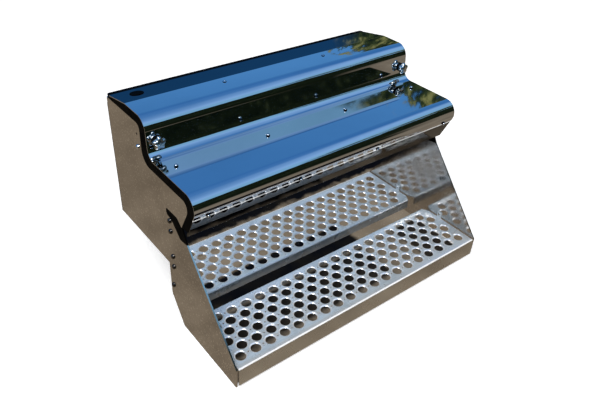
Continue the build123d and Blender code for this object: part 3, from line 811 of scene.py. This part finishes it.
# %% Punch for the pressed rims and the drain holes
HOLE_PITCH, ROW_PITCH, FIRST_ROW = 46.7 * MM, 30.5 * MM, 37.5 * MM
HOLES_IN_ROW = (19, 18, 19, 18, 19, 18)
PUNCH = [
    (0, 2), (18.2, 2), (18.2, 0), (17.2, -0.25), (15.6, -1.2), (14.3, -2.4), (13.45, -4.5), (0, -4.5),
]
DRAIN = [(0, 2), (2.7, 2), (2.7, -4.5), (0, -4.5)]
PUNCH_STEPS, DRAIN_STEPS = 28, 10
bm = bmesh.new()
for row, holes in enumerate(HOLES_IN_ROW):
    row_back = tread_front + FIRST_ROW + row * ROW_PITCH
    for place in range(2 * holes - 1):
        spot = Vector(((place - holes + 1) * HOLE_PITCH / 2, row_back, tread_top))
        shape, steps = (PUNCH, PUNCH_STEPS) if place % 2 == 0 else (DRAIN, DRAIN_STEPS)
        turned(bm, [(r * MM, h * MM) for r, h in shape], spot, UP_AXIS, steps)
close_and_turn_out(bm)
punch = new_object("punch", mesh_from(bm, "punch"))
blank = new_object("tread_blank", merged_copy("tread", "tread_blank"))
cut = blank.modifiers.new("punched", "BOOLEAN")
cut.operation = "DIFFERENCE"
cut.solver = "EXACT"
cut.object = punch
bpy.context.view_layer.update()
evaluated_blank = blank.evaluated_get(bpy.context.evaluated_depsgraph_get())
punched = bpy.data.meshes.new_from_object(evaluated_blank)
bpy.data.objects.remove(blank)
bpy.data.objects.remove(punch)
tread_sheet = piece_from_mesh("tread_sheet", punched, [tread_bright], 25)
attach(tread_sheet, "frame_box")
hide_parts("tread")
print("tread faces", len(punched.polygons))

# %% [markdown]
# Each knob is a cast star with five soft lobes on a round neck, chromed all over. Its outline is one
# closed ring; each extrusion carries the ring forward and gives it the lobes and the size that the
# knob has there. A subdivision surface rounds it off.

# %% Star knobs
KNOB_BACK, KNOB_UP, KNOB_X = 392.7, 468, 430 * MM
LOBES = 5
RINGS = [
    (0, 8.5, 0), (0.4, 9.6, 0), (8, 9.4, 0), (9.6, 11.4, 0.6), (10.4, 15.4, 2.0), (12, 16.8, 2.8),
    (15.5, 17.0, 2.9), (18.5, 16.2, 2.7), (21, 14.0, 2.1), (22.8, 10.4, 1.2), (23.8, 6.0, 0.4),
    (24, 2.5, 0),
]
RING_STEPS = 40


def turn_under(vert, turn_of):
    """The turn about the knob's axis of the vertex in the last ring that this one was drawn from."""
    source = min(turn_of, key=lambda old: (old.co - vert.co).length)
    return turn_of[source]


def place_ring(turn_of, centre, forward, radius, lobe):
    """Moves the ring's vertices to their distance in front of the cover, with their lobes."""
    for vert, turn in turn_of.items():
        reach = (radius + lobe * math.cos(LOBES * turn)) * MM
        vert.co = centre + Vector((reach * math.sin(turn), -forward * MM, reach * math.cos(turn)))


for hand, side_name in ((-1, "left"), (1, "right")):
    centre = profile_point(KNOB_BACK, KNOB_UP, hand * KNOB_X)
    bm = bmesh.new()
    ring = bmesh.ops.create_circle(bm, segments=RING_STEPS, radius=1)["verts"]
    turn_of = {v: math.atan2(v.co.y, v.co.x) for v in ring}
    bmesh.ops.contextual_create(bm, geom=ring)
    edges = bm.edges[:]
    place_ring(turn_of, centre, *RINGS[0])
    for ring_shape in RINGS[1:]:
        drawn = bmesh.ops.extrude_edge_only(bm, edges=edges)
        fresh = fresh_verts(drawn)
        drawn_edges = [g for g in drawn["geom"] if isinstance(g, bmesh.types.BMEdge)]
        edges = [e for e in drawn_edges if all(v in fresh for v in e.verts)]
        turn_of = {v: turn_under(v, turn_of) for v in fresh}
        place_ring(turn_of, centre, *ring_shape)
    bmesh.ops.contextual_create(bm, geom=list(turn_of))
    star = finished_piece("star_knob_" + side_name, bm, [knob_chrome], 60)
    rounding = star.modifiers.new("rounding", "SUBSURF")
    rounding.levels = rounding.render_levels = 1
    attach(star, side_name + "_knob")
    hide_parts("knob_" + side_name)
print("knobs done")

# %% [markdown]
# The screws that hold the cover to its rails have domed heads on thick rubber washers, so each shows
# as a bright dot above a dark one, with its own image in the polish below. The row on the highest
# face is lower, so that nothing stands out of the box that the CAD gives.

# %% Cover screws
SCREW_PROFILE = [
    (0, -9), (2.45, -9), (2.45, 0), (5.6, 0), (5.6, 1.6), (5.0, 2.2), (3.0, 2.2), (3.0, 3.0),
    (4.9, 3.2), (4.9, 4.4), (4.1, 5.8), (2.6, 6.6), (1.5, 6.7), (1.3, 5.2), (0, 5.2),
]
SCREW_STEPS = 18
WASHER_BOTTOM, WASHER_TOP = -0.01 * MM, 2.3 * MM
LOW_HEADS = 0.44
SCREWS_DOWN_LIP = 15
ROW_OF_FOUR, ROW_OF_TWO = (-417, -139, 139, 417), (-175, 175)
SECOND_STEP_ROW, FIRST_STEP_ROW = (321, 424), (480, 533)
LIP_ROW = Vector(LIP_FOLD) + lip_way * SCREWS_DOWN_LIP
LIP_AXIS = Vector((0, -lip_inside.x, -lip_inside.y))
screw_rows = {
    "second_step_screws": (SECOND_STEP_ROW, UP_AXIS, ROW_OF_FOUR, 1),
    "first_step_screws": (FIRST_STEP_ROW, UP_AXIS, ROW_OF_TWO, LOW_HEADS),
    "lip_screws": (LIP_ROW, LIP_AXIS, ROW_OF_FOUR, 1),
}
for node_name, (row_spot, axis, places, head_share) in screw_rows.items():
    base = profile_point(*row_spot)
    profile = [(r * MM, h * MM * (head_share if h > 0 else 1)) for r, h in SCREW_PROFILE]
    bm = bmesh.new()
    for place in places:
        turned(bm, profile, base + Vector((place * MM, 0, 0)), axis, SCREW_STEPS)
    screws = finished_piece("domed_" + node_name, bm, [bright_fastener, washer_rubber], 40)
    for face in screws.data.polygons:
        height = (face.center - base).dot(axis)
        face.material_index = 1 if WASHER_BOTTOM < height < WASHER_TOP * head_share else 0
    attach(screws, "cover")
    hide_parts(node_name)
print("screw rows", len(screw_rows))

# %% [markdown]
# The weather strip closes the joint between the box and the cover's rear edge. It is one moulded
# length of rubber, with rounded corners over the end plates.

# %% Weather strip
STRIP_OUTLINE = [(591, 500), (622, 500), (622, 514.6), (607, 514.6), (607, 511.9), (591, 511.9)]
STRIP_CAP = [(607, 505.6), (622, 505.6), (622, 514.6), (607, 514.6)]
STRIP_HALF = 439 * MM
STRIP_CORNER, CORNER_SEGMENTS = 9 * MM, 6
REAR_HALF_FROM = 615
UPRIGHT_FROM = 8 * MM
strip_parts = (
    (STRIP_OUTLINE, -STRIP_HALF, STRIP_HALF),
    (STRIP_CAP, -plate_outside, -STRIP_HALF),
    (STRIP_CAP, STRIP_HALF, plate_outside),
)
bm = bmesh.new()
for outline, start, end in strip_parts:
    face = bm.faces.new([bm.verts.new(profile_point(*spot, start)) for spot in outline])
    drawn = bmesh.ops.extrude_face_region(bm, geom=[face])
    bmesh.ops.translate(bm, verts=fresh_verts(drawn), vec=(end - start, 0, 0))


def is_outer_corner(edge):
    """An upright edge at the rear, over the outer face of an end plate."""
    first, second = (vert.co for vert in edge.verts)
    over_plate = abs(abs(first.x) - plate_outside) < MM
    at_rear = first.y > profile_point(REAR_HALF_FROM, 0).y
    return abs(first.z - second.z) > UPRIGHT_FROM and over_plate and at_rear


corners = [edge for edge in bm.edges if is_outer_corner(edge)]
round_edges = {"segments": CORNER_SEGMENTS, "profile": 0.5, "affect": "EDGES", "material": -1}
bmesh.ops.bevel(bm, geom=corners, offset=STRIP_CORNER, **round_edges)
weather_strip = finished_piece("weather_strip", bm, [seal_rubber])
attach(weather_strip, "frame_box")
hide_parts("rear_weather_strip")
print("strip faces", len(weather_strip.data.polygons), "corners rounded", len(corners))
